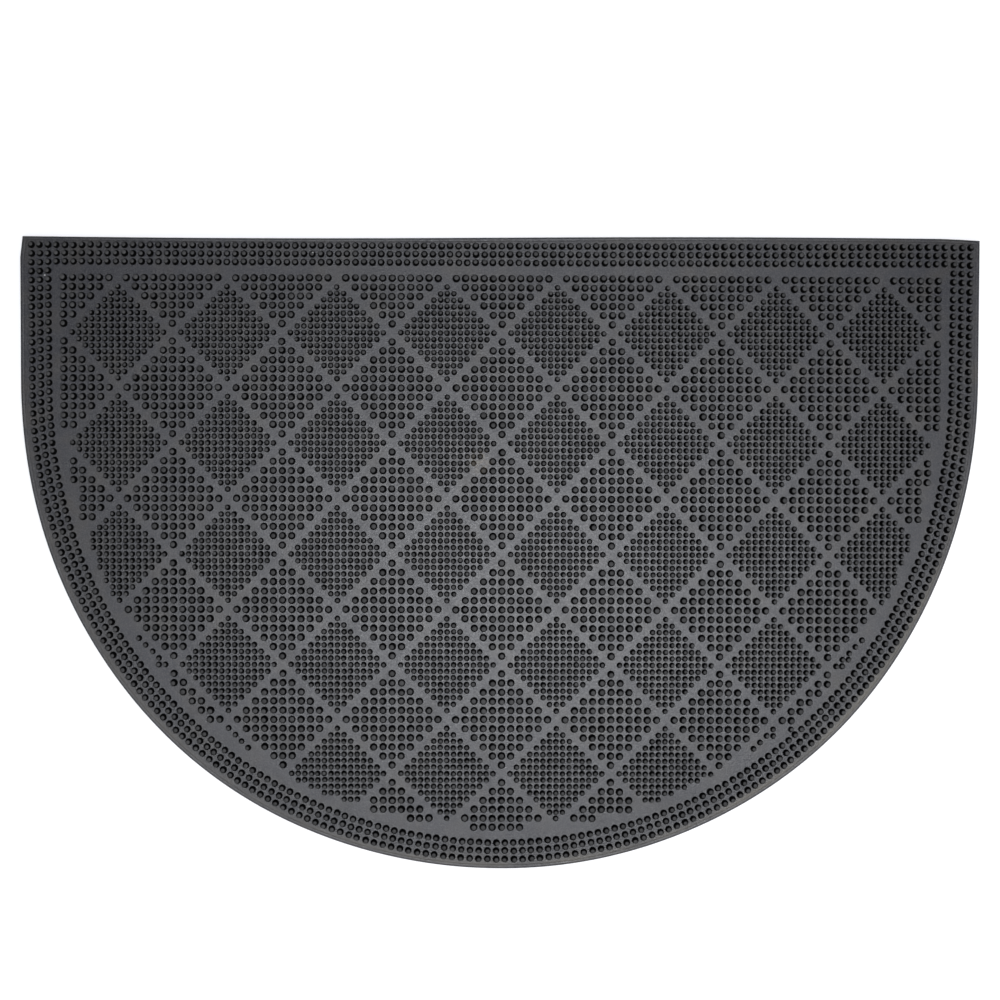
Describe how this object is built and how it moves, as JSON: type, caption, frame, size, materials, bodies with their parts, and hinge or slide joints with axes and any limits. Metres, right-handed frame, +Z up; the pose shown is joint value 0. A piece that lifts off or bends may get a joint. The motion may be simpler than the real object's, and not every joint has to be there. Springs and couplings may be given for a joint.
{
  "type": "half-round rubber doormat",
  "caption": "Flat half-round doormat moulded in one piece from rubber, with a bevelled rim, border rows of short pins and a diamond check of larger and smaller pins.",
  "frame": {"origin": "centre of the underside's bounding box, on the floor plane", "axes": "+X along the straight edge, +Y towards the straight edge, +Z up"},
  "size_m": [0.6, 0.3951, 0.007],
  "materials": {
    "rubber": "matte moulded rubber"
  },
  "bodies": {
    "root": {"mat": "rubber"}
  },
  "joints": []
}
